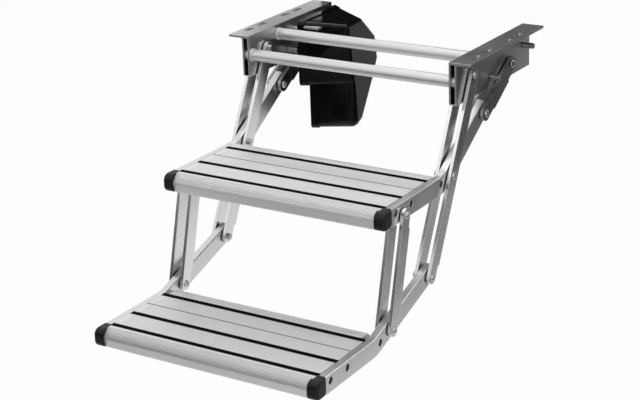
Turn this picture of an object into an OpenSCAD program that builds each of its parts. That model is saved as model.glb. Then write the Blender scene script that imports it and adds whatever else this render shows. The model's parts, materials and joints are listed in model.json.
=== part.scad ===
// Folding double entry step for a caravan doorway, shown folded out.
// X runs across the doorway, Y runs under the floor towards the middle of the
// vehicle, Z is up. The origin lies in the middle of the eight floor slots, on
// the top of the two rails, where the step is screwed to the vehicle floor.
// Millimetres.

/* [Treads] */
// Clear width between the arms, and length of each tread
tread_w = 380; // [300:1:520]
// Front stripe to the start of the rounded rear edge
tread_depth = 151; // [146:1:180]
// Height of the upper tread's top below the rail tops
upper_drop = 173; // [168:1:178]
// Height from one tread to the next
step_rise = 191; // [186:1:196]
// Distance from one tread to the next, front to rear
step_run = 200; // [196:1:204]
// Start of the upper tread's rounded rear edge in front of the origin
upper_back = 177; // [173:1:179]
// Thickness of the tread's top plate
tread_plate = 2.8; // [2:0.1:3.2]
// Wall of the tread's nose and rear edge
tread_wall = 2.4; // [1.6:0.1:3]
// Height of the tread's nose
nose_h = 30; // [29:0.5:31]
// Overhang of the nose in front of the first stripe
nose_reach = 26; // [24:0.5:27]
// Radius of the rounded rear edge
rear_r = 12; // [10:0.5:12.5]
// Width of a rubber stripe where it shows
grip_w = 8.6; // [5:0.1:9]
// Height of a rubber stripe above the tread
grip_proud = 0.7; // [0.3:0.1:1.5]
// Pitch of the fine ribs on the nose
rib_pitch = 2.6; // [2.2:0.1:4]

/* [Arms] */
// Thickness of an arm across the doorway, and of the rail's box
arm_t = 13; // [11:0.5:15]
// Height of an arm
arm_h = 30; // [28:0.5:31]
// Wall of the hollow arm
arm_wall = 2.5; // [1.5:0.1:3]
// Length of an arm past its rear pivot
arm_tail = 15; // [12:0.5:18]
// Diameter of the access holes for the tread screws
access_d = 12; // [10.5:0.1:13]
// Radius of the arm's rounded edges
arm_round = 2; // [0.5:0.1:2.4]
// Centre-line radius of the bend in an arm
arm_bend_r = 70; // [40:1:75]

/* [Linkage] */
// Distance between pivots on the long bars
bar_pitch = 165; // [160:1:170]
// Lean of the long bars from upright, in degrees
bar_lean = 27; // [25:0.5:29]
// Half width of a bar at its ends
bar_r = 10.5; // [9:0.5:11]
// Height of the lip along a bar's rear edge
bar_lip = 3.5; // [2:0.5:4]
// Thickness of a bar
bar_t = 5.5; // [4:0.1:6]
// Gap between a bar and the arm or rail beside it
layer_gap = 2; // [1.5:0.1:2.5]
// Distance between the lever's pivots
lever_pitch = 113; // [108:1:118]
// Half width of a lever at its ends
lever_r = 12.5; // [11:0.5:13]
// Radius of the pivot pins
pin_r = 4; // [3:0.1:4.5]
// Running clearance round a pin, on the radius
pin_fit = 0.05; // [0.02:0.01:0.08]

/* [Rails] */
// Length of a rail
rail_len = 269; // [260:1:290]
// Front end of a rail in front of the origin
rail_lead = 119; // [117:1:121]
// Height of the rail's box
rail_h = 71; // [66:1:76]
// Width of the rail's top flange, box included
flange_w = 39; // [36:0.5:45]
// Thickness of the top flange
flange_t = 4; // [3:0.1:5]
// Wall of the rail's box
rail_wall = 2.6; // [2:0.1:3.2]
// Distance between the two slots of a pair
slot_pitch = 40; // [36:0.5:46]
// Distance between the middles of the two slot pairs
pair_pitch = 112; // [104:1:124]
// Length of a slot
slot_len = 24; // [18:0.5:28]
// Width of a slot
slot_w = 9; // [7:0.1:10]
// Outer radius of the cross tubes
tube_r = 10; // [8:0.1:10.5]
// Wall of the cross tubes
tube_wall = 2; // [1:0.1:3]
// Reach of a stop stud beyond the rail's face
stud_reach = 20; // [16:0.5:22]
// Radius of a stop stud
stud_r = 5; // [4:0.1:6]

/* [Motor] */
// Wall of the moulded motor cover
cover_wall = 2.8; // [2:0.1:3.5]
// Length of the motor cover across the doorway
cover_len = 90; // [84:0.5:95]
// Gap between the cover's rim and the lever beside it
cover_gap = 8.5; // [8:0.1:9.5]
// Radius of the geared motor's output shaft
shaft_r = 7; // [5:0.1:8]
// Radius of the motor can
motor_r = 18; // [15:0.5:19]

/* [Hidden] */

// Layers across the doorway, for the right side; the left side mirrors them
half_w = tread_w / 2;
arm_out = half_w + arm_t;
outer_bar_x = arm_out + layer_gap;
inner_bar_x = half_w - layer_gap - bar_t;
seat_gap = 0.3;
washer_t = layer_gap - seat_gap;
washer_r = 8;

// Pivots as [y, z]
rail_pivot = [-68, -31];
lever_pivot = [69, -48];
down = [-sin(bar_lean), -cos(bar_lean)];
mid_pivot = rail_pivot + bar_pitch * down;
end_pivot = rail_pivot + 2 * bar_pitch * down;
toggle = mid_pivot - lever_pivot;
toggle_dir = toggle / norm(toggle);
elbow_pivot = lever_pivot + lever_pitch * toggle_dir;
upper_rear = -upper_back;
upper_front = upper_rear - tread_depth;
upper_top = -upper_drop;
lower_rear = upper_rear - step_run;
lower_front = lower_rear - tread_depth;
lower_top = upper_top - step_rise;
short_top_ahead = 119;
short_top_drop = 19;
short_end_behind = 34.5;
short_end_drop = 1;
short_top_pivot = [upper_rear - short_top_ahead, upper_top - short_top_drop];
short_end_pivot = [lower_rear + short_end_behind, lower_top - short_end_drop];

// Arm centre lines: level under the tread, then up to the rear pivot
upper_slope = atan2(-toggle[1], -toggle[0]);
arm_drop = arm_h / 2;
arm_lead = -2;
lower_slope = dir_angle(short_end_pivot, end_pivot);
upper_bend = bend_y(mid_pivot, upper_slope, upper_top);
lower_bend = bend_y(end_pivot, lower_slope, lower_top);

// Screws into the treads, behind the front stripe and below the top
screw_ys = [12, 59.5, tread_depth + 5.5];
screw_drop = 11.2;
screw_r = 2;
screw_head_r = 4.5;
screw_head_h = 6.6;
cover_head_h = 3.4;
screw_len = 22;
port_r = 4.6;
grip_ys = [0, 50, tread_depth - 20];
groove_y = (grip_ys[1] + grip_ys[2]) / 2;
groove_w = 3;
groove_deep = 1.6;
grip_deep = 1.4;
grip_foot = 1.3;
grip_foot_w = grip_w + 2.6;
grip_fit = 0.1;
rib_deep = 0.75;

// Moulded end caps
cap_proud = 3.5;
cap_rise = 0.75;
cap_top_r = 12;
cap_low_r = 9;
cap_heel_r = 9;
cap_low = 1.2;
cap_soft = 5;
cap_lip = 2.5;
cap_plug = 9;

// Heads of the pivot bolts
head_r = 6.3;
head_h = 3.6;
socket_d = 4.6;
nut_w = 11.5;
nut_h = 4.2;
bolt_tip = 1.2;

// Rails, tubes and studs
rail_rear = rail_len - rail_lead;
front_tube = [-106, -35];
rear_tube = [-23, -17.5];
studs = [[1, -52], [rail_rear - 25, -30]];
corner_r = 3;
fillet_r = 3;
slot_x = (arm_out + half_w + flange_w) / 2;
slot_ys = [for (p = [-1, 1], s = [-1, 1]) p * pair_pitch / 2 + s * slot_pitch / 2];
weld = 1.8;

// Motor group on the left, worked out on the right and mirrored
cover_x_out = inner_bar_x - cover_gap;
cover_x_in = cover_x_out - cover_len;
rim_w = 12;
rim_proud = 1.8;
bracket_t = 3;
bracket_x = cover_x_out - bracket_t + 2;
post_r = 6;
posts = [[28, -22], [102, -20]];
motor_axis = [cover_x_out - 34, lever_pivot[0] + 1];
housing_in = cover_x_out - 50;
gear_top = -20;
gear_foot = -95;
can_h = 62;
tab = [cover_x_out - 44, cover_x_out - 14];
tab_z = -12.5;
tab_t = 3.4;
cover_screw_x = cover_x_out - 24;
cover_screw_zs = [-51, -79];
flange_y = 125;
flange_zs = [-88, -44];
plate_ys = [18, 114];
plate_top = -9;
plate_low_front = -70;

function bend_y(pivot, slope, top) =
    pivot[0] - (pivot[1] - (top - arm_drop)) / tan(slope);
function arc_pts(c, r, a0, a1, n) =
    [for (i = [0:n]) c + r * [cos(a0 + (a1 - a0) * i / n), sin(a0 + (a1 - a0) * i / n)]];
function dir_angle(from, to) = atan2(to[1] - from[1], to[0] - from[0]);

// Puts a part drawn for the right side on the left
module side(s) {
    mirror([s < 0 ? 1 : 0, 0, 0]) children();
}

// Extrudes a side view, drawn as y and z, across the doorway
module across(x0, t) {
    translate([x0, 0, 0]) rotate([90, 0, 90]) linear_extrude(t) children();
}

// Turned part across the doorway: a cylinder from x0, at a [y, z] place
module pin(x0, t, r, at) {
    translate([x0, at[0], at[1]]) rotate([0, 90, 0]) cylinder(r = r, h = t, $fn = 48);
}

module dot(at, r) {
    translate(at) circle(r, $fn = 48);
}

module rail_profile() {
    difference() {
        union() {
            translate([half_w, -rail_h]) square([arm_t, rail_h]);
            translate([half_w, -flange_t]) square([flange_w, flange_t]);
            translate([arm_out, -flange_t - fillet_r]) square(fillet_r);
        }
        translate([half_w + rail_wall, -rail_h + rail_wall])
            square([arm_t - 2 * rail_wall, rail_h - rail_wall - flange_t]);
        dot([arm_out + fillet_r, -flange_t - fillet_r], fillet_r);
    }
}

module rail(s) {
    color("silver") side(s) difference() {
        translate([0, rail_rear, 0]) rotate([90, 0, 0]) linear_extrude(rail_len) rail_profile();
        for (t = [front_tube, rear_tube]) pin(half_w - 1, arm_t + 1 - rail_wall, tube_r, t);
        for (t = studs) pin(half_w - 1, arm_t + 2, stud_r - 1, t);
        pin(half_w - 1, arm_t + 2, pin_r + pin_fit, rail_pivot);
        pin(half_w - 1, arm_t + 2, (s < 0 ? shaft_r : pin_r) + pin_fit, lever_pivot);
        for (y = slot_ys) translate([slot_x, y, -flange_t - 1]) linear_extrude(flange_t + 2) {
            square([slot_w, slot_len - slot_w], center = true);
            for (e = [-1, 1]) dot([0, e * (slot_len - slot_w) / 2], slot_w / 2);
        }
        across(half_w - 1, arm_t + 2) translate([-rail_lead, -rail_h]) difference() {
            translate([-1, -1]) square(corner_r + 1);
            dot([corner_r, corner_r], corner_r);
        }
    }
}

// Tube that runs through the inner walls of both rails to their outer walls
module cross_tube(at) {
    reach = arm_out - rail_wall;
    color("gainsboro") difference() {
        union() {
            pin(-reach, 2 * reach, tube_r, at);
            for (s = [-1, 1]) side(s) translate([half_w - weld, at[0], at[1]]) rotate([0, 90, 0])
                cylinder(r1 = tube_r, r2 = tube_r + weld, h = weld, $fn = 48);
        }
        pin(-reach - 1, 2 * reach + 2, tube_r - tube_wall, at);
    }
}

// Stud through a rail, thicker on both sides of it, with bevelled ends
module stop_stud(at) {
    bevel = 1;
    pin(half_w, arm_t, stud_r - 1, at);
    for (x = [half_w - stud_reach, arm_out]) {
        pin(x + bevel, stud_reach - 2 * bevel, stud_r, at);
        translate([x, at[0], at[1]]) rotate([0, 90, 0]) {
            cylinder(r1 = stud_r - bevel, r2 = stud_r, h = bevel, $fn = 48);
            translate([0, 0, stud_reach - bevel])
                cylinder(r1 = stud_r, r2 = stud_r - bevel, h = bevel, $fn = 48);
        }
    }
}

module stop_studs() {
    color("dimgray") for (s = [-1, 1], t = studs) side(s) stop_stud(t);
}

// Bar with rounded ends and a lip that stops short of them, drawn along +X
module bar_outline(len, r) {
    dot([0, 0], r);
    dot([len, 0], r);
    translate([0, -r]) square([len, 2 * r]);
    translate([2 * r, 0]) square([len - 4 * r, r + bar_lip]);
}

module link(x0, from, to, r, holes, bores) {
    across(x0, bar_t) difference() {
        translate(from) rotate(dir_angle(from, to)) bar_outline(norm(to - from), r);
        for (i = [0:len(holes) - 1]) dot(holes[i], bores[i] + pin_fit);
    }
}

module long_bar(s, x0) {
    color("silver") side(s)
        link(x0, rail_pivot, end_pivot, bar_r, [rail_pivot, mid_pivot, end_pivot], [pin_r, pin_r, pin_r]);
}

module short_bar(s, x0) {
    color("silver") side(s)
        link(x0, short_top_pivot, short_end_pivot, bar_r, [short_top_pivot, short_end_pivot], [pin_r, pin_r]);
}

module lever(s, x0) {
    color("dimgray") side(s) link(x0, lever_pivot, elbow_pivot, lever_r,
        [lever_pivot, elbow_pivot], [s < 0 ? shaft_r : pin_r, pin_r]);
}

// Domed head with a hexagon socket, standing on the face at x = 0
module bolt_head() {
    rise = head_h * 0.8;
    ball = (head_r * head_r + rise * rise) / (2 * rise);
    rim = head_h - rise;
    edge = asin((ball - rise) / ball);
    rotate([0, 90, 0]) difference() {
        rotate_extrude($fn = 48)
            polygon(concat([[0, 0], [head_r, 0]], arc_pts([0, rim + rise - ball], ball, edge, 90, 8)));
        translate([0, 0, head_h * 0.45]) cylinder(d = socket_d, h = head_h, $fn = 6);
    }
}

// Bolt through both bars of a side, with a nut on the inner face
module pivot_bolt(at) {
    inner_face = inner_bar_x;
    pin(inner_face - nut_h - bolt_tip, outer_bar_x + bar_t - inner_face + nut_h + bolt_tip, pin_r, at);
    translate([outer_bar_x + bar_t, at[0], at[1]]) bolt_head();
    translate([inner_face - nut_h, at[0], at[1]]) rotate([0, 90, 0])
        cylinder(d = nut_w, h = nut_h, $fn = 6);
}

// Studs of an open pivot: each fills its own bar and stops clear of the arm
module end_stud(x0, at, out) {
    pin(x0, bar_t, pin_r, at);
    if (out) translate([x0 + bar_t, at[0], at[1]]) bolt_head();
    else translate([x0, at[0], at[1]]) mirror([1, 0, 0]) bolt_head();
}

module bolts(at) {
    color("gainsboro") for (s = [-1, 1]) side(s) pivot_bolt(at);
}

module end_studs(at) {
    color("gainsboro") for (s = [-1, 1]) side(s) {
        end_stud(outer_bar_x, at, true);
        end_stud(inner_bar_x, at, false);
    }
}

// Washers fill the gap beside each bar, at every pivot in the list
module washers(places, bores, sides = [-1, 1]) {
    color("white") for (s = sides, i = [0:len(places) - 1], x = [outer_bar_x - washer_t, inner_bar_x + bar_t])
        side(s) difference() {
            pin(x, washer_t, max(washer_r, bores[i] + 3), places[i]);
            pin(x - 1, washer_t + 2, bores[i] + pin_fit, places[i]);
        }
}

// Side outline of a tread, drawn with its front stripe's top at the origin
module nose_outline(g) {
    top_r = nose_h / 2 - g;
    low_r = nose_h * 0.2 - g / 2;
    front = -nose_reach + g;
    polygon(concat([[-4 - g, -nose_h + g], [-4 - g, -g]],
        arc_pts([front + top_r, -g - top_r], top_r, 90, 180, 14),
        arc_pts([front + low_r + 1.5, -nose_h + g + low_r], low_r, 180, 270, 8)));
}

module tread_outline() {
    rib_c = [-nose_reach + nose_h / 2, -nose_h / 2];
    rib_step = rib_pitch / (nose_h / 2) * 180 / PI;
    difference() {
        union() {
            nose_outline(0);
            translate([-nose_reach / 2, -tread_plate]) square([tread_depth + nose_reach / 2, tread_plate]);
            intersection() {
                dot([tread_depth, -rear_r], rear_r);
                translate([tread_depth, -2 * rear_r]) square([rear_r, 2 * rear_r]);
            }
            for (y = grip_ys) translate([y - grip_foot_w / 2 - 1.6, -grip_deep - grip_foot - 1.6])
                square([grip_foot_w + 3.2, grip_deep + grip_foot + 1]);
            for (y = screw_ys) {
                dot([y, -screw_drop], port_r);
                translate([y - 1.3, -screw_drop]) square([2.6, screw_drop - 1]);
            }
        }
        difference() {
            nose_outline(tread_wall);
            for (y = grip_ys) translate([y - grip_foot_w / 2 - 1.6, -grip_deep - grip_foot - 1.6])
                square([grip_foot_w + 3.2, grip_deep + grip_foot + 1]);
        }
        difference() {
            dot([tread_depth, -rear_r], rear_r - tread_wall);
            dot([screw_ys[2], -screw_drop], port_r);
            translate([screw_ys[2] - 1.3, -screw_drop]) square([2.6, screw_drop]);
        }
        for (y = grip_ys) translate([y, 0]) {
            translate([-grip_w / 2, -grip_deep]) square([grip_w, grip_deep + 1]);
            translate([-grip_foot_w / 2, -grip_deep - grip_foot]) square([grip_foot_w, grip_foot]);
        }
        translate([groove_y - groove_w / 2, -groove_deep]) square([groove_w, groove_deep + 1]);
        for (y = screw_ys) dot([y, -screw_drop], screw_r);
        for (i = [0:6]) translate(rib_c + (nose_h / 2) * [cos(92 + i * rib_step), sin(92 + i * rib_step)])
            circle(rib_deep, $fn = 16);
    }
}

module tread(front, top) {
    color("silver") across(-half_w, tread_w) translate([front, top]) tread_outline();
}

// The lower tread is relieved at its rear corners, where the inner short bars
// come to lie when the step is folded
module lower_tread() {
    relief = [half_w - inner_bar_x + 1.2, 28, 7];
    difference() {
        tread(lower_front, lower_top);
        for (s = [-1, 1]) side(s)
            translate([half_w - relief[0], lower_front + tread_depth + rear_r + 1 - relief[1], lower_top - 6])
                cube([relief[0] + 1, relief[1], relief[2]]);
    }
}

module grip_strips(front, top) {
    color("black") for (y = grip_ys) across(-half_w, tread_w) translate([front + y, top]) {
        translate([-grip_w / 2 + grip_fit, -grip_deep - grip_fit])
            square([grip_w - 2 * grip_fit, grip_deep + grip_fit + grip_proud]);
        translate([-grip_foot_w / 2 + grip_fit, -grip_deep - grip_foot + grip_fit])
            square([grip_foot_w - 2 * grip_fit, grip_foot - 2 * grip_fit]);
    }
}

// Hollow section of an arm, drawn about its middle; g thins its wall
module arm_section(w, h, g) {
    difference() {
        union() {
            square([w - 2 * arm_round, h - 2 * g], center = true);
            square([w - 2 * g, h - 2 * arm_round], center = true);
            for (x = [-1, 1], y = [-1, 1])
                translate([x * (w / 2 - arm_round), y * (h / 2 - arm_round)]) circle(arm_round - g, $fn = 24);
        }
        square([w - 2 * (arm_wall - g), h - 2 * (arm_wall - g)], center = true);
    }
}

// Swept tube of an arm: level along the tread, one bend, straight to its tail.
// The straight runs reach into the bend's ends, thinner by a hair.
module arm_tube(front, top, bend, slope, tail_pivot) {
    mid_x = half_w + arm_t / 2;
    level = top - arm_drop;
    bend_run = arm_bend_r * tan(slope / 2);
    rise_run = norm(tail_pivot - [bend, level]) + arm_tail;
    level_run = bend - bend_run - (front + arm_lead);
    hair = 0.01;
    seat = 0.4;
    translate([mid_x, bend - bend_run + seat, level]) rotate([90, 0, 0])
        linear_extrude(level_run + seat) arm_section(arm_t, arm_h, hair);
    translate([0, bend - bend_run, level + arm_bend_r]) rotate([0, 90, 0])
        rotate_extrude(angle = slope, $fn = 180) translate([arm_bend_r, mid_x]) arm_section(arm_h, arm_t, 0);
    translate([mid_x, bend, level]) rotate([slope, 0, 0]) translate([0, rise_run, 0]) rotate([90, 0, 0])
        linear_extrude(rise_run - bend_run + seat) arm_section(arm_t, arm_h, hair);
}

module arm(s, front, top, bend, slope, tail_pivot, pivots) {
    boss_r = pin_r + 3;
    color("silver") side(s) difference() {
        union() {
            arm_tube(front, top, bend, slope, tail_pivot);
            for (p = pivots) pin(half_w + arm_wall / 2, arm_t - arm_wall, boss_r, p);
        }
        for (p = pivots) pin(half_w - 1, arm_t + 2, pin_r + pin_fit, p);
        for (y = screw_ys) {
            pin(half_w - 1, arm_t + 2, screw_r + 0.2, [front + y, top - screw_drop]);
            pin(half_w + arm_wall, arm_t, access_d / 2, [front + y, top - screw_drop]);
        }
    }
}

module upper_arm(s) {
    arm(s, upper_front, upper_top, upper_bend, upper_slope, elbow_pivot,
        [short_top_pivot, mid_pivot, elbow_pivot]);
}

module lower_arm(s) {
    arm(s, lower_front, lower_top, lower_bend, lower_slope, end_pivot, [short_end_pivot, end_pivot]);
}

// Pan-head screw with a cross recess, driven from inside the hollow arm
module tread_screw(at) {
    color("gainsboro") difference() {
        union() {
            pin(half_w + arm_wall, screw_head_h, screw_head_r, at);
            pin(half_w + arm_wall - screw_len, screw_len, screw_r - 0.05, at);
        }
        for (a = [0, 90]) translate([half_w + arm_wall + screw_head_h - 1.4, at[0], at[1]]) rotate([a, 0, 0])
            translate([0, -2.4, -0.5]) cube([2, 4.8, 1]);
    }
}

module tread_screws(front, top) {
    for (s = [-1, 1], y = screw_ys) side(s) tread_screw([front + y, top - screw_drop]);
}

// Side view of a moulded end cap, drawn with the front stripe's top at the
// origin and drawn in by g
module cap_outline(g) {
    front = -nose_reach - cap_proud + g;
    back = arm_lead - g;
    high = cap_rise - g;
    low = -nose_h + cap_low + g;
    polygon(concat(
        arc_pts([front + cap_top_r - g, high - cap_top_r + g], cap_top_r - g, 90, 180, 10),
        arc_pts([front + cap_low_r - g, low + cap_low_r - g], cap_low_r - g, 180, 270, 8),
        arc_pts([back - cap_heel_r + g, low + cap_heel_r - g], cap_heel_r - g, 270, 360, 6),
        [[back, high]]));
}

// Pillow-shaped cap over the front end of an arm, with a plug inside the arm
// and a lip that reaches round the end of the nose
module cap(s, front, top) {
    fit = 0.15;
    lip_fit = 0.3;
    cap_t = arm_t + 2.5;
    steps = 5;
    color("#2b2c2e") side(s) {
        hull() {
            across(half_w, 1) translate([front, top]) cap_outline(0);
            for (i = [0:steps]) across(half_w + cap_t - cap_soft * (1 - sin(90 * i / steps)) - 0.05, 0.05)
                translate([front, top]) cap_outline(cap_soft * (1 - cos(90 * i / steps)));
        }
        across(half_w - cap_lip, cap_lip + 0.5) translate([front, top]) difference() {
            cap_outline(0);
            nose_outline(-lip_fit);
            translate([-nose_reach / 2 - 3, -nose_h * 2]) square(nose_h * 3);
        }
        across(half_w + arm_wall + fit, arm_t - 2 * arm_wall - 2 * fit)
            translate([front + arm_lead - 1, top - arm_h + arm_wall + fit])
                square([cap_plug, arm_h - 2 * arm_wall - 2 * fit]);
    }
}

// Form of the motor cover: an upper hood over the folded treads and a lower
// box behind them. Its corners are balls, given as [y, z]; g grows the form.
module cover_form(g) {
    ball = 6;
    big = 16;
    far = cover_x_out + ball;
    near = cover_x_in + ball;
    hull() {
        for (q = [[15, -9], [136.5, -7.8], [136.5, -88], [116, -116.5], [15, -112.8]])
            translate([far, q[0], q[1]]) sphere(r = ball + g, $fn = 24);
        for (q = [[34, -10.6], [77, -8.8], [119.3, -47.2], [125.8, -85.3], [109, -119], [48.3, -107]])
            translate([near, q[0], q[1]]) sphere(r = ball + g, $fn = 24);
    }
    hull() {
        for (q = [[49, -103], [49, -200.5], [83, -193], [107, -121]])
            translate([far, q[0], q[1]]) sphere(r = ball + g, $fn = 24);
        for (q = [[49, -103], [106.5, -121.5]])
            translate([near, q[0], q[1]]) sphere(r = ball + g, $fn = 24);
        for (q = [[59, -181.5], [69, -177]])
            translate([cover_x_in + big, q[0], q[1]]) sphere(r = big + g, $fn = 40);
    }
}

module motor_cover() {
    big_box = 600;
    rim_slab = [rim_w, big_box, big_box];
    color("#101113") side(-1) difference() {
        union() {
            cover_form(0);
            intersection() {
                cover_form(rim_proud);
                translate([cover_x_out - rim_w, -big_box / 2, -big_box / 2]) cube(rim_slab);
            }
        }
        difference() {
            cover_form(-cover_wall);
            for (z = cover_screw_zs) translate([cover_screw_x, flange_y + bracket_t, z]) rotate([-90, 0, 0])
                cylinder(r = 6, h = 20, $fn = 32);
        }
        translate([cover_x_out, -big_box / 2, -big_box / 2]) cube([big_box, big_box, big_box]);
        translate([tab[0] - 1, 0, tab_z - 1]) cube([tab[1] - tab[0] + 2, 25, tab_t + 2]);
        for (z = cover_screw_zs) translate([cover_screw_x, flange_y, z]) rotate([-90, 0, 0]) {
            cylinder(r = screw_r + 0.3, h = 30, $fn = 32);
            translate([0, 0, bracket_t + 4]) cylinder(r = screw_head_r + 0.5, h = 30, $fn = 32);
        }
    }
}

module cover_screws() {
    color("gray") side(-1) for (z = cover_screw_zs) translate([cover_screw_x, flange_y, z]) rotate([-90, 0, 0])
        difference() {
            union() {
                translate([0, 0, -2]) cylinder(r = screw_r - 0.05, h = bracket_t + 7, $fn = 32);
                translate([0, 0, bracket_t + 4]) cylinder(r = screw_head_r, h = cover_head_h, $fn = 32);
            }
            translate([0, 0, bracket_t + 4 + cover_head_h - 1.4]) for (a = [0, 90]) rotate(a)
                translate([-2.4, -0.5, 0]) cube([4.8, 1, 2]);
        }
}

// Folded steel bracket between the rail posts, the gear housing and the cover
module motor_bracket() {
    back = flange_y + bracket_t;
    plate = [[plate_ys[0], plate_top], [plate_ys[1], plate_top], [plate_ys[1], flange_zs[1]],
        [back, flange_zs[1]], [back, flange_zs[0]],
        [plate_ys[0] - plate_low_front + flange_zs[0] + 40, flange_zs[0]], [plate_ys[0], plate_low_front]];
    color("darkgray") side(-1) difference() {
        union() {
            across(bracket_x, bracket_t) polygon(plate);
            translate([tab[0], 7.5, tab_z]) cube([tab[1] - tab[0], 24, tab_t]);
            translate([tab[0], 18, tab_z]) cube([bracket_x + bracket_t - tab[0], 14, tab_t]);
            translate([cover_screw_x - 12, flange_y, flange_zs[0]])
                cube([bracket_x + bracket_t - cover_screw_x + 12, bracket_t, flange_zs[1] - flange_zs[0]]);
        }
        pin(bracket_x - 1, bracket_t + 2, shaft_r + 1, lever_pivot);
        for (p = posts) pin(bracket_x - 1, bracket_t + 2, screw_r + 0.5, p);
        for (z = cover_screw_zs) translate([cover_screw_x, flange_y - 1, z]) rotate([-90, 0, 0])
            cylinder(r = screw_r, h = bracket_t + 2, $fn = 32);
    }
}

module bracket_posts() {
    far = bracket_x + bracket_t;
    color("darkgray") side(-1) for (p = posts) {
        pin(far, half_w - far, post_r, p);
        pin(bracket_x - 3, far - bracket_x + 3, screw_r, p);
        pin(bracket_x - 3, 3, screw_head_r, p);
    }
}

// Worm gear housing: a drum round the output shaft and a tunnel for the worm
module gear_housing() {
    drum_r = 33;
    tunnel_r = motor_r + 1;
    color("gray") side(-1) difference() {
        union() {
            pin(housing_in, bracket_x - housing_in, drum_r, lever_pivot);
            translate([motor_axis[0], motor_axis[1], gear_foot])
                cylinder(r = tunnel_r, h = gear_top - gear_foot, $fn = 48);
            translate([motor_axis[0], motor_axis[1], gear_foot]) cylinder(r = motor_r + 3, h = 5, $fn = 48);
        }
        pin(housing_in + 6, bracket_x, shaft_r + pin_fit, lever_pivot);
    }
}

module motor_can() {
    color("dimgray") side(-1) translate([motor_axis[0], motor_axis[1], gear_foot - can_h])
        cylinder(r = motor_r, h = can_h, $fn = 64);
}

module motor_end_cap() {
    cap_h = 9;
    color("black") side(-1) translate([motor_axis[0], motor_axis[1], gear_foot - can_h - cap_h])
        rotate_extrude($fn = 64) polygon([[0, 0], [motor_r - 4, 0], [motor_r - 1, 3], [motor_r - 1, cap_h], [0, cap_h]]);
}

// Shaft from the gear housing through the left rail and both left levers
module output_shaft() {
    start = housing_in + 6.5;
    tail = 3.5;
    color("gainsboro") side(-1) {
        pin(start, outer_bar_x + bar_t + tail - start, shaft_r, lever_pivot);
        pin(outer_bar_x + bar_t, tail - 1, shaft_r + 3, lever_pivot);
    }
}

module right_lever_bolt() {
    color("gainsboro") pivot_bolt(lever_pivot);
}

module lever_washers() {
    washers([lever_pivot], [shaft_r], [-1]);
    washers([lever_pivot], [pin_r], [1]);
    washers([elbow_pivot], [pin_r]);
}

rail(-1);  // left_rail
rail(1);  // right_rail
cross_tube(front_tube);  // front_cross_tube
cross_tube(rear_tube);  // rear_cross_tube
stop_studs();
motor_bracket();
bracket_posts();
gear_housing();
motor_can();
motor_end_cap();
motor_cover();
cover_screws();
long_bar(-1, outer_bar_x);  // left_outer_bar
long_bar(-1, inner_bar_x);  // left_inner_bar
long_bar(1, outer_bar_x);  // right_outer_bar
long_bar(1, inner_bar_x);  // right_inner_bar
bolts(rail_pivot);  // rail_pivot_bolts
bolts(mid_pivot);  // middle_pivot_bolts
bolts(end_pivot);  // bottom_pivot_bolts
washers([rail_pivot, mid_pivot, end_pivot], [pin_r, pin_r, pin_r]);  // long_bar_washers
lever(-1, outer_bar_x);  // left_outer_lever
lever(-1, inner_bar_x);  // left_inner_lever
lever(1, outer_bar_x);  // right_outer_lever
lever(1, inner_bar_x);  // right_inner_lever
output_shaft();
right_lever_bolt();
end_studs(elbow_pivot);  // lever_end_studs
lever_washers();
tread(upper_front, upper_top);  // upper_tread
grip_strips(upper_front, upper_top);  // upper_grip_strips
upper_arm(-1);  // left_upper_arm
upper_arm(1);  // right_upper_arm
cap(-1, upper_front, upper_top);  // left_upper_cap
cap(1, upper_front, upper_top);  // right_upper_cap
tread_screws(upper_front, upper_top);  // upper_tread_screws
short_bar(-1, outer_bar_x);  // left_outer_short_bar
short_bar(-1, inner_bar_x);  // left_inner_short_bar
short_bar(1, outer_bar_x);  // right_outer_short_bar
short_bar(1, inner_bar_x);  // right_inner_short_bar
bolts(short_top_pivot);  // short_bar_top_bolts
end_studs(short_end_pivot);  // short_bar_end_studs
washers([short_top_pivot, short_end_pivot], [pin_r, pin_r]);  // short_bar_washers
lower_tread();
grip_strips(lower_front, lower_top);  // lower_grip_strips
lower_arm(-1);  // left_lower_arm
lower_arm(1);  // right_lower_arm
cap(-1, lower_front, lower_top);  // left_lower_cap
cap(1, lower_front, lower_top);  // right_lower_cap
tread_screws(lower_front, lower_top);  // lower_tread_screws
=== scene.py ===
# %% [markdown]
# # A folding double entry step
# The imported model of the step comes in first. Its pieces already have the
# right shape and place, in metres. This script gives them their finishes, adds
# the fine details, and sets up the light and the camera.

# %% Load the model
import json
import math

import bpy
from mathutils import Matrix, Vector


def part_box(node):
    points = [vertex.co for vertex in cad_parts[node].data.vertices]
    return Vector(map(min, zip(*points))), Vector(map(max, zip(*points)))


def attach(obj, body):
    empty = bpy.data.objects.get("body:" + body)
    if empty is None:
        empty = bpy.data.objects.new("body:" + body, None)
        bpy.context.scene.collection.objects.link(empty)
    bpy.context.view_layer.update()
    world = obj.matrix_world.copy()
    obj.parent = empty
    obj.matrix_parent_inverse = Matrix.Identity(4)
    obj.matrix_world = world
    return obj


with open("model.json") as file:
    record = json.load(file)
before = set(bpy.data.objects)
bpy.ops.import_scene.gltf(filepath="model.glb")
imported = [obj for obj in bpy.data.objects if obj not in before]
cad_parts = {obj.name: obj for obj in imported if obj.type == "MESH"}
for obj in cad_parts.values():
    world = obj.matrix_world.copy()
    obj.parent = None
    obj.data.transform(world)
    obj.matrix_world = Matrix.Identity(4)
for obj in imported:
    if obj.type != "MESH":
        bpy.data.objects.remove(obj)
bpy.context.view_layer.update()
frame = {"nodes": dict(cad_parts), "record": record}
print("pieces in the model:", len(frame["nodes"]))

# %% [markdown]
# ## The camera
# A product photograph like this one is taken from a few metres away with a
# long lens, so upright edges stay nearly parallel. The camera stands to the
# right of the step and a little above it, and leans over by two degrees. Its
# place is given by three directions: right, up and back.

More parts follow.
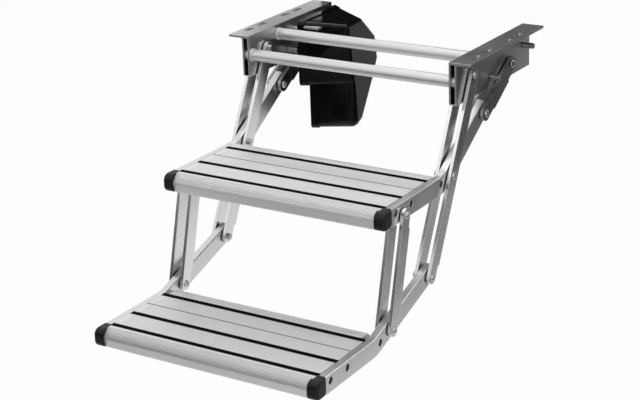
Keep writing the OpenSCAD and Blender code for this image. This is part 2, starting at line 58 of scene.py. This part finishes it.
# %% Camera
EYE = Vector((1.3617, -2.3383, 0.7038))
TURN = 0.5673357
TILT = 0.3508163
LEAN = -0.0361966
SENSOR_MM = 36
LENS_MM = 93.03
SHIFT = (-0.0042, -0.0097)
FAR_END = 50


def add_camera():
    right = Vector((math.cos(TURN), math.sin(TURN), 0))
    level = math.cos(TILT)
    back = Vector((math.sin(TURN) * level, -math.cos(TURN) * level, math.sin(TILT)))
    up = back.cross(right)
    leant_right = right * math.cos(LEAN) + up * math.sin(LEAN)
    leant_up = up * math.cos(LEAN) - right * math.sin(LEAN)
    data = bpy.data.cameras.new("camera")
    data.sensor_width = SENSOR_MM
    data.lens = LENS_MM
    data.shift_x, data.shift_y = SHIFT
    data.clip_end = FAR_END
    camera = bpy.data.objects.new("camera", data)
    facing = Matrix((leant_right, leant_up, back)).transposed().to_4x4()
    camera.matrix_world = Matrix.Translation(EYE) @ facing
    bpy.context.scene.collection.objects.link(camera)
    bpy.context.scene.camera = camera
    return camera


camera = add_camera()
print("camera stands", round(camera.location.length, 2), "m from the rails")

# %% [markdown]
# ## A small kit for materials
# Every finish here is made of nodes. These helpers add a node, set its
# sockets by name and join two of them, so that each material reads as a short
# list. All patterns use Object coordinates: they stay on a piece as it moves.
#
# A sharp edge on a real part is slightly rounded and catches the light. The
# Bevel node rounds the shading there and leaves the shape alone.

# %% Node helpers
COLOUR_A = 6
COLOUR_B = 7
MIXED_COLOUR = 2
EDGE_SAMPLES = 6


def new_material(name):
    material = bpy.data.materials.new(name)
    material.use_nodes = True
    tree = material.node_tree
    return material, tree, tree.nodes["Principled BSDF"]


def add_node(tree, kind, settings=None, **sockets):
    node = tree.nodes.new(kind)
    for key, value in (settings or {}).items():
        setattr(node, key, value)
    for key, value in sockets.items():
        node.inputs[key.replace("_", " ")].default_value = value
    return node


def object_coordinates(tree, scale=(1, 1, 1)):
    place = add_node(tree, "ShaderNodeTexCoord")
    mapping = add_node(tree, "ShaderNodeMapping", Scale=scale)
    tree.links.new(place.outputs["Object"], mapping.inputs["Vector"])
    return mapping.outputs["Vector"]


def noise(tree, vector, scale, detail=4.0):
    node = add_node(tree, "ShaderNodeTexNoise",
                    Scale=scale, Detail=detail, Roughness=0.55)
    tree.links.new(vector, node.inputs["Vector"])
    return node.outputs["Fac"]


def spread(tree, factor, low, high, start=0.3, end=0.7):
    """Maps the range start to end onto the range low to high."""
    node = add_node(tree, "ShaderNodeMapRange",
                    From_Min=start, From_Max=end, To_Min=low, To_Max=high)
    tree.links.new(factor, node.inputs["Value"])
    return node.outputs["Result"]


def blend_colours(tree, factor, low, high):
    node = add_node(tree, "ShaderNodeMix", {"data_type": "RGBA"})
    node.inputs[COLOUR_A].default_value = (*low, 1)
    node.inputs[COLOUR_B].default_value = (*high, 1)
    tree.links.new(factor, node.inputs["Factor"])
    return node.outputs[MIXED_COLOUR]


def add_bump(tree, shader, height, strength, distance, edge):
    """Fine relief from a height, on top of edges rounded by a radius."""
    node = add_node(tree, "ShaderNodeBump", Strength=strength, Distance=distance)
    tree.links.new(height, node.inputs["Height"])
    softened = add_node(tree, "ShaderNodeBevel", {"samples": EDGE_SAMPLES}, Radius=edge)
    tree.links.new(softened.outputs["Normal"], node.inputs["Normal"])
    tree.links.new(node.outputs["Normal"], shader.inputs["Normal"])


# %% [markdown]
# ## Anodised aluminium
# The rails, tubes, arms, bars and treads are aluminium with a satin, silver
# skin. The press leaves faint lines along each profile, so the noise is
# stretched along the piece's own length. The lines change the gloss a little,
# and the grey even less. Narrow corners are darkened by ambient occlusion, as painted
# shade.

# %% Aluminium
CORNER_SAMPLES = 8
CORNER_SHADE_SHARE = 0.35
ALONG_SCALE = 4.0
ACROSS_SCALE = 300.0
DULL_SHARE = 0.96
LINE_GLOSS = 0.03
CLOUD_GLOSS = 0.04
LINE_DEPTH = 0.0004


def painted_corner_shade(tree, colour, reach):
    """Darkens a colour in narrow corners by ambient occlusion: painted shade."""
    # Painted shade: ambient occlusion darkens the colour in narrow corners and grooves.
    corner = add_node(tree, "ShaderNodeAmbientOcclusion",
                      {"samples": CORNER_SAMPLES}, Distance=reach)
    share = spread(tree, corner.outputs["AO"], CORNER_SHADE_SHARE, 1.0, 0.25, 0.75)
    darker = add_node(tree, "ShaderNodeMix",
                      {"data_type": "RGBA", "blend_type": "MULTIPLY"}, Factor=1.0)
    tree.links.new(colour, darker.inputs[COLOUR_A])
    tree.links.new(share, darker.inputs[COLOUR_B])
    return darker.outputs[MIXED_COLOUR]


def satin_aluminium(name, grey, along, roughness, metallic,
                    edge=0.0008, grain=0.12, reach=0.004):
    material, tree, shader = new_material(name)
    stretch = tuple(ALONG_SCALE if axis == along else ACROSS_SCALE for axis in "XYZ")
    lines = noise(tree, object_coordinates(tree, stretch), 3.0)
    clouds = noise(tree, object_coordinates(tree), 9.0, 3.0)
    dull = tuple(channel * DULL_SHARE for channel in grey)
    colour = blend_colours(tree, spread(tree, lines, 0, 1), dull, grey)
    # The colour gets painted shade in its narrow corners before it reaches the shader.
    tree.links.new(painted_corner_shade(tree, colour, reach), shader.inputs["Base Color"])
    shader.inputs["Metallic"].default_value = metallic
    from_lines = spread(tree, lines, -LINE_GLOSS, LINE_GLOSS)
    from_clouds = spread(tree, clouds, roughness - CLOUD_GLOSS, roughness + CLOUD_GLOSS)
    gloss = add_node(tree, "ShaderNodeMath", {"operation": "ADD"})
    tree.links.new(from_lines, gloss.inputs[0])
    tree.links.new(from_clouds, gloss.inputs[1])
    tree.links.new(gloss.outputs[0], shader.inputs["Roughness"])
    add_bump(tree, shader, lines, grain, LINE_DEPTH, edge)
    return material


tread_aluminium = satin_aluminium(
    "tread_aluminium", (0.79, 0.785, 0.785), "X", 0.50, 0.55, reach=0.008)
tube_aluminium = satin_aluminium(
    "tube_aluminium", (0.62, 0.615, 0.605), "X", 0.36, 0.7)
rail_aluminium = satin_aluminium(
    "rail_aluminium", (0.48, 0.495, 0.51), "Y", 0.33, 1.0,
    edge=0.0012, grain=0.01, reach=0.010)
arm_aluminium = satin_aluminium(
    "arm_aluminium", (0.66, 0.65, 0.64), "Y", 0.32, 0.95, edge=0.0012, grain=0.03)
bar_aluminium = satin_aluminium(
    "bar_aluminium", (0.72, 0.715, 0.705), "Z", 0.27, 1.0, grain=0.02)
print("aluminium finishes for treads, tubes, rails, arms and bars")

# %% [markdown]
# ## Steel, rubber and plastic
# The levers and stop studs are bare rolled steel, with a darker grey than the
# other steel as painted shade for the dark they mirror. Bolts and screws are
# bright zinc-plated steel. The tread stripes are matt rubber, the arm caps
# grained plastic, and the motor cover smooth glossy plastic.

# %% Other finishes
SPECK_DEPTH = 0.0005


def speckled(name, dark, light, roughness, metallic=0.0, scale=120.0, bump=0.1,
             edge=0.0005, shine=0.5, vary=0.07):
    material, tree, shader = new_material(name)
    place = object_coordinates(tree)
    grain = noise(tree, place, scale, 6.0)
    clouds = noise(tree, place, 14.0, 3.0)
    colour = blend_colours(tree, spread(tree, clouds, 0, 1), dark, light)
    gloss = spread(tree, grain, roughness - vary, roughness + vary)
    tree.links.new(colour, shader.inputs["Base Color"])
    tree.links.new(gloss, shader.inputs["Roughness"])
    shader.inputs["Metallic"].default_value = metallic
    shader.inputs["Specular IOR Level"].default_value = shine
    add_bump(tree, shader, grain, bump, SPECK_DEPTH, edge)
    return material


FINISHES = {
    # Levers and stop studs: their grey is darker than the other steel, painted shade for
    # the dark surroundings they mirror.
    "lever_steel": speckled(
        "bare_steel_painted_shade", (0.28, 0.28, 0.275), (0.35, 0.35, 0.345), 0.28,
        metallic=1.0, scale=500.0, bump=0.02, vary=0.03),
    "bracket_steel": speckled(
        "galvanised_steel", (0.42, 0.43, 0.44), (0.58, 0.59, 0.60), 0.45,
        metallic=0.9, scale=60.0),
    "gear_casting": speckled(
        "cast_aluminium", (0.30, 0.30, 0.31), (0.38, 0.38, 0.39), 0.6,
        metallic=0.8, scale=200.0, bump=0.3),
    "motor_steel": speckled(
        "painted_motor_can", (0.020, 0.020, 0.022), (0.030, 0.030, 0.032), 0.45),
    "end_cap_plastic": speckled(
        "motor_end_plastic", (0.018, 0.018, 0.018), (0.025, 0.025, 0.025), 0.6),
    "cover_plastic": speckled(
        "glossy_cover", (0.002, 0.002, 0.002), (0.004, 0.004, 0.004), 0.13,
        scale=30.0, bump=0.02, edge=0.0015, shine=0.15),
    "fastener_steel": speckled(
        "zinc_plated_steel", (0.46, 0.46, 0.46), (0.54, 0.54, 0.54), 0.3,
        metallic=1.0, scale=400.0, bump=0.05, vary=0.03),
    "washer_plastic": speckled(
        "nylon", (0.50, 0.49, 0.46), (0.56, 0.55, 0.52), 0.5),
    "grip_rubber": speckled(
        "grip_rubber", (0.001, 0.001, 0.001), (0.003, 0.003, 0.003), 0.8,
        scale=400.0, bump=0.25, shine=0.05),
    "cap_plastic": speckled(
        "cap_plastic", (0.009, 0.0085, 0.007), (0.015, 0.014, 0.012), 0.45,
        scale=500.0, bump=0.25, edge=0.0015, shine=0.22),
    "rail_aluminium": rail_aluminium,
    "tread_aluminium": tread_aluminium,
    "arm_aluminium": arm_aluminium,
    "bar_aluminium": bar_aluminium,
}
print("finishes by name:", list(FINISHES))

# %% [markdown]
# ## Give each piece its finish
# The model's record says which finish each piece has. The tubes lie across
# the step, so they take the aluminium whose lines run along X.

# %% Assign the finishes
ALONG_X = ("front_cross_tube", "rear_cross_tube")
finish_of = {part["node"]: part["material_slot"] for part in frame["record"]["subparts"]}
for name, piece in frame["nodes"].items():
    finish = tube_aluminium if name in ALONG_X else FINISHES[finish_of[name]]
    for place in piece.material_slots:
        place.material = finish
print("finished pieces:", len(finish_of))

# %% [markdown]
# ## One tree for everything that repeats
# Fine ribs on the treads and ribs on the rubber are each one small shape, many
# times over. Geometry Nodes do that: the mesh that carries the modifier holds
# only points, and the tree puts one rod on each. The rod is a cylinder of unit
# size that lies along X, so one tree fits every use: its named inputs stretch
# it to length, width and height.

# %% The repeating tree
def repeating_tree():
    tree = bpy.data.node_groups.new("repeated_rods", "GeometryNodeTree")
    face = tree.interface
    face.new_socket("Geometry", in_out="OUTPUT", socket_type="NodeSocketGeometry")
    for name, kind in (("Points", "Geometry"), ("Length", "Float"), ("Width", "Float"),
                       ("Height", "Float"), ("Sides", "Int"), ("Finish", "Material")):
        face.new_socket(name, in_out="INPUT", socket_type="NodeSocket" + kind)
    given = add_node(tree, "NodeGroupInput").outputs
    rod = add_node(tree, "GeometryNodeMeshCylinder", Radius=0.5, Depth=1.0)
    size = add_node(tree, "ShaderNodeCombineXYZ")
    shape = add_node(tree, "GeometryNodeTransform", Rotation=(0, math.radians(90), 0))
    place = add_node(tree, "GeometryNodeInstanceOnPoints")
    real = add_node(tree, "GeometryNodeRealizeInstances")
    paint = add_node(tree, "GeometryNodeSetMaterial")
    done = add_node(tree, "NodeGroupOutput")
    for source, target in (
            (given["Sides"], rod.inputs["Vertices"]),
            (given["Height"], size.inputs["X"]),
            (given["Width"], size.inputs["Y"]),
            (given["Length"], size.inputs["Z"]),
            (rod.outputs["Mesh"], shape.inputs["Geometry"]),
            (size.outputs["Vector"], shape.inputs["Scale"]),
            (given["Points"], place.inputs["Points"]),
            (shape.outputs["Geometry"], place.inputs["Instance"]),
            (place.outputs["Instances"], real.inputs["Geometry"]),
            (real.outputs["Geometry"], paint.inputs["Geometry"]),
            (given["Finish"], paint.inputs["Material"]),
            (paint.outputs["Geometry"], done.inputs["Geometry"])):
        tree.links.new(source, target)
    return tree


RODS = repeating_tree()
SOCKETS = {item.name: item.identifier
           for item in RODS.interface.items_tree if item.in_out == "INPUT"}
print("inputs of the tree:", list(SOCKETS))

# %% [markdown]
# ## From points to a plain mesh
# The modifier's result is made a plain mesh, because a finished model can't
# hold a live modifier. The new piece then rides on a body and takes a finish.

# %% Put rods on points
def repeat(name, points, body, slot, **sizes):
    """One plain mesh of rods, one on each point, that rides on a body."""
    mesh = bpy.data.meshes.new(name)
    mesh.from_pydata(points, [], [])
    piece = bpy.data.objects.new(name, mesh)
    bpy.context.scene.collection.objects.link(piece)
    modifier = piece.modifiers.new("rods", "NODES")
    modifier.node_group = RODS
    for key, value in sizes.items():
        modifier[SOCKETS[key]] = value
    depsgraph = bpy.context.evaluated_depsgraph_get()
    shown = piece.evaluated_get(depsgraph)
    plain = bpy.data.meshes.new_from_object(shown, depsgraph=depsgraph)
    piece.modifiers.clear()
    piece.data = plain
    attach(piece, body)
    print(name, "has", len(points), "rods and", len(plain.polygons), "faces")
    return piece


# %% [markdown]
# ## Ribs that grip
# The top of each tread is pressed with fine ribs along its length, and so are
# the three rubber stripes. The ribs on the metal stop short of the stripes and
# of the groove between the second and third stripe. All distances are counted
# from the first stripe, which lies 26 mm behind the front of the nose. The ribs
# end a little before the ends of the tread, because the inner short bars lie
# close over these ends when the step is folded.

# %% Tread ribs and stripe ribs
NOSE = 0.026
STRIPES = (0, 0.050, 0.131)
GROOVE = 0.0905
TREAD_END = 0.151
STRIPE_HALF = 0.0055
GROOVE_HALF = 0.0025
RIB_PITCH = 0.0018
STRIPE_RIB_PITCH = 0.002
PLAIN_END = 0.009
RIB = {"Width": 0.0009, "Height": 0.0004, "Sides": 8}


def tread_rib_places():
    """Distances behind the first stripe at which a rib lies on the metal."""
    places = []
    for index in range(1, int(TREAD_END / RIB_PITCH)):
        place = index * RIB_PITCH
        clear_of_stripes = all(abs(place - stripe) > STRIPE_HALF for stripe in STRIPES)
        if clear_of_stripes and abs(place - GROOVE) > GROOVE_HALF:
            places.append(place)
    return places


def stripe_rib_places():
    """Three ribs on each stripe, one of them along its middle."""
    return [stripe + step * STRIPE_RIB_PITCH for stripe in STRIPES for step in (-1, 0, 1)]


def add_grip(level):
    low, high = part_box(level + "_tread")
    strip_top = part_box(level + "_grip_strips")[1][2]
    first = low[1] + NOSE
    length = high[0] - low[0] - 2 * PLAIN_END
    metal = [(0, first + place, high[2]) for place in tread_rib_places()]
    repeat(level + "_tread_ribs", metal, level + "_step", "tread_aluminium",
           Length=length, Finish=tread_aluminium, **RIB)
    rubber = [(0, first + place, strip_top) for place in stripe_rib_places()]
    repeat(level + "_stripe_ribs", rubber, level + "_step", "grip_rubber",
           Length=length, Finish=FINISHES["grip_rubber"], **RIB)


for level in ("upper", "lower"):
    add_grip(level)

# %% [markdown]
# ## Floor and sky
# A real step hangs some 20 cm above the ground, so the floor lies below it. The
# floor and the sky are white to the camera and in reflections. All other
# light from them is softer, so the floor keeps a faint shadow.

# %% Floor and sky
GROUND = -0.60
FLOOR_HALF = 9
FLOOR_COLOUR = (0.8, 0.8, 0.8, 1)
FLOOR_ROUGHNESS = 0.9
WHITE_SHARE = 0.97
SKY_LIGHT = (0.42, 0.42, 0.43, 1)
WHITE = (1, 1, 1, 1)


def seen_directly(tree):
    """1 for camera, glossy and transmission rays, 0 for all other light."""
    rays = add_node(tree, "ShaderNodeLightPath")
    seen = add_node(tree, "ShaderNodeMath", {"operation": "MAXIMUM"})
    mirrored = add_node(tree, "ShaderNodeMath", {"operation": "MAXIMUM"})
    tree.links.new(rays.outputs["Is Glossy Ray"], mirrored.inputs[0])
    tree.links.new(rays.outputs["Is Transmission Ray"], mirrored.inputs[1])
    tree.links.new(rays.outputs["Is Camera Ray"], seen.inputs[0])
    tree.links.new(mirrored.outputs[0], seen.inputs[1])
    return seen.outputs[0]


def mix_into(tree, output, factor, first, second):
    mix = add_node(tree, "ShaderNodeMixShader")
    for source, target in zip((factor, first.outputs[0], second.outputs[0]), mix.inputs):
        tree.links.new(source, target)
    tree.links.new(mix.outputs[0], tree.nodes[output].inputs["Surface"])


def rectangle(name, centre, across, along, material):
    """A flat sheet round its centre, from two half-length vectors."""
    centre, across, along = Vector(centre), Vector(across), Vector(along)
    corners = [centre - across - along, centre + across - along,
               centre + across + along, centre - across + along]
    mesh = bpy.data.meshes.new(name)
    mesh.from_pydata(corners, [], [(0, 1, 2, 3)])
    mesh.materials.append(material)
    sheet = bpy.data.objects.new(name, mesh)
    bpy.context.scene.collection.objects.link(sheet)
    return sheet


def floor_material():
    material, tree, shader = new_material("floor")
    shader.inputs["Base Color"].default_value = FLOOR_COLOUR
    shader.inputs["Roughness"].default_value = FLOOR_ROUGHNESS
    share = add_node(tree, "ShaderNodeMath", {"operation": "MULTIPLY"})
    share.inputs[1].default_value = WHITE_SHARE
    tree.links.new(seen_directly(tree), share.inputs[0])
    glow = add_node(tree, "ShaderNodeEmission")
    mix_into(tree, "Material Output", share.outputs[0], shader, glow)
    return material


def add_sky():
    world = bpy.data.worlds.new("studio")
    world.use_nodes = True
    tree = world.node_tree
    soft = tree.nodes["Background"]
    soft.inputs["Color"].default_value = SKY_LIGHT
    white = add_node(tree, "ShaderNodeBackground", Color=WHITE)
    mix_into(tree, "World Output", seen_directly(tree), soft, white)
    bpy.context.scene.world = world


rectangle("floor", (0, 0, GROUND), (FLOOR_HALF, 0, 0), (0, FLOOR_HALF, 0), floor_material())
add_sky()
print("floor at", GROUND, "m")

# %% [markdown]
# ## Black cards and lamps
# Bright metal in an all-white room loses its shape. A photographer stands
# black cards just outside the picture, and the metal mirrors them as dark
# bands. One card on the right darkens the outer sides of the rail, lever and
# bars, and ends low down, where the white floor shows instead. One at the back
# darkens the rails' tops, and a small one close behind the motor cover keeps
# its top black. Grey cards behind the left rail, on the floor and in front
# soften the rail, the arms and the rounded noses. The camera doesn't see the
# cards, and they cast no shadow.
#
# The lamps are large and weak: a key lamp at the front left, a soft one above,
# a narrow strip at the back left for a line on the cover's edge, and a rim
# lamp at the back right that draws the edges of the arms.

# %% Cards and lamps
BLACK = 0.02
# Each card: name, centre, half of its width, half of its height, grey
CARDS = (
    ("right_card", (0.45, 0.38, -0.05), (0, 0.38, 0), (0, 0, 0.35), BLACK),
    ("back_card", (0.02, 0.5, 0.28), (0.33, 0, 0), (0, 0, 0.22), BLACK),
    ("cover_card", (-0.16, 0.17, 0.03), (0.065, 0, 0), (0, 0, 0.07), BLACK),
    ("rail_card", (-0.36, 0.36, 0.21), (0.17, 0, 0), (0, 0, 0.11), 0.35),
    ("floor_card", (1.1, 0.05, GROUND + 0.01), (0.65, 0, 0), (0, 0.65, 0), 0.33),
    ("front_card", (-0.65, -0.95, -0.35), (0.9, 0, 0), (0, 0, 0.25), 0.17),
)
# Each lamp: name, place, the point it aims at, its two sides, watts
LAMPS = (
    ("key", (-1.4, -1.9, 1.9), (0, -0.2, -0.25), (1.6, 1.2), 4),
    ("top", (0.1, -0.4, 2.2), (0, -0.25, -0.25), (2.0, 2.0), 20),
    ("strip", (-1.0, 1.2, 1.45), (-0.12, 0.03, 0), (0.45, 0.15), 2.5),
    ("rim", (0.98, 1.45, 0.95), (0.1, -0.2, -0.15), (0.9, 0.35), 6),
)


def add_card(name, centre, across, along, grey):
    material, tree, shader = new_material(name)
    shader.inputs["Base Color"].default_value = (grey, grey, grey, 1)
    shader.inputs["Roughness"].default_value = 1.0
    card = rectangle(name, centre, across, along, material)
    card.visible_camera = False
    card.visible_shadow = False


def add_lamp(name, place, aim, size, watts):
    data = bpy.data.lights.new(name, "AREA")
    data.shape = "RECTANGLE"
    data.size, data.size_y = size
    data.energy = watts
    lamp = bpy.data.objects.new(name, data)
    lamp.location = place
    beam = Vector(aim) - Vector(place)
    lamp.rotation_euler = beam.to_track_quat("-Z", "Y").to_euler()
    bpy.context.scene.collection.objects.link(lamp)


for card in CARDS:
    add_card(*card)
for lamp in LAMPS:
    add_lamp(*lamp)
bpy.context.scene.view_settings.view_transform = "Standard"
print("cards:", len(CARDS), "lamps:", len(LAMPS))
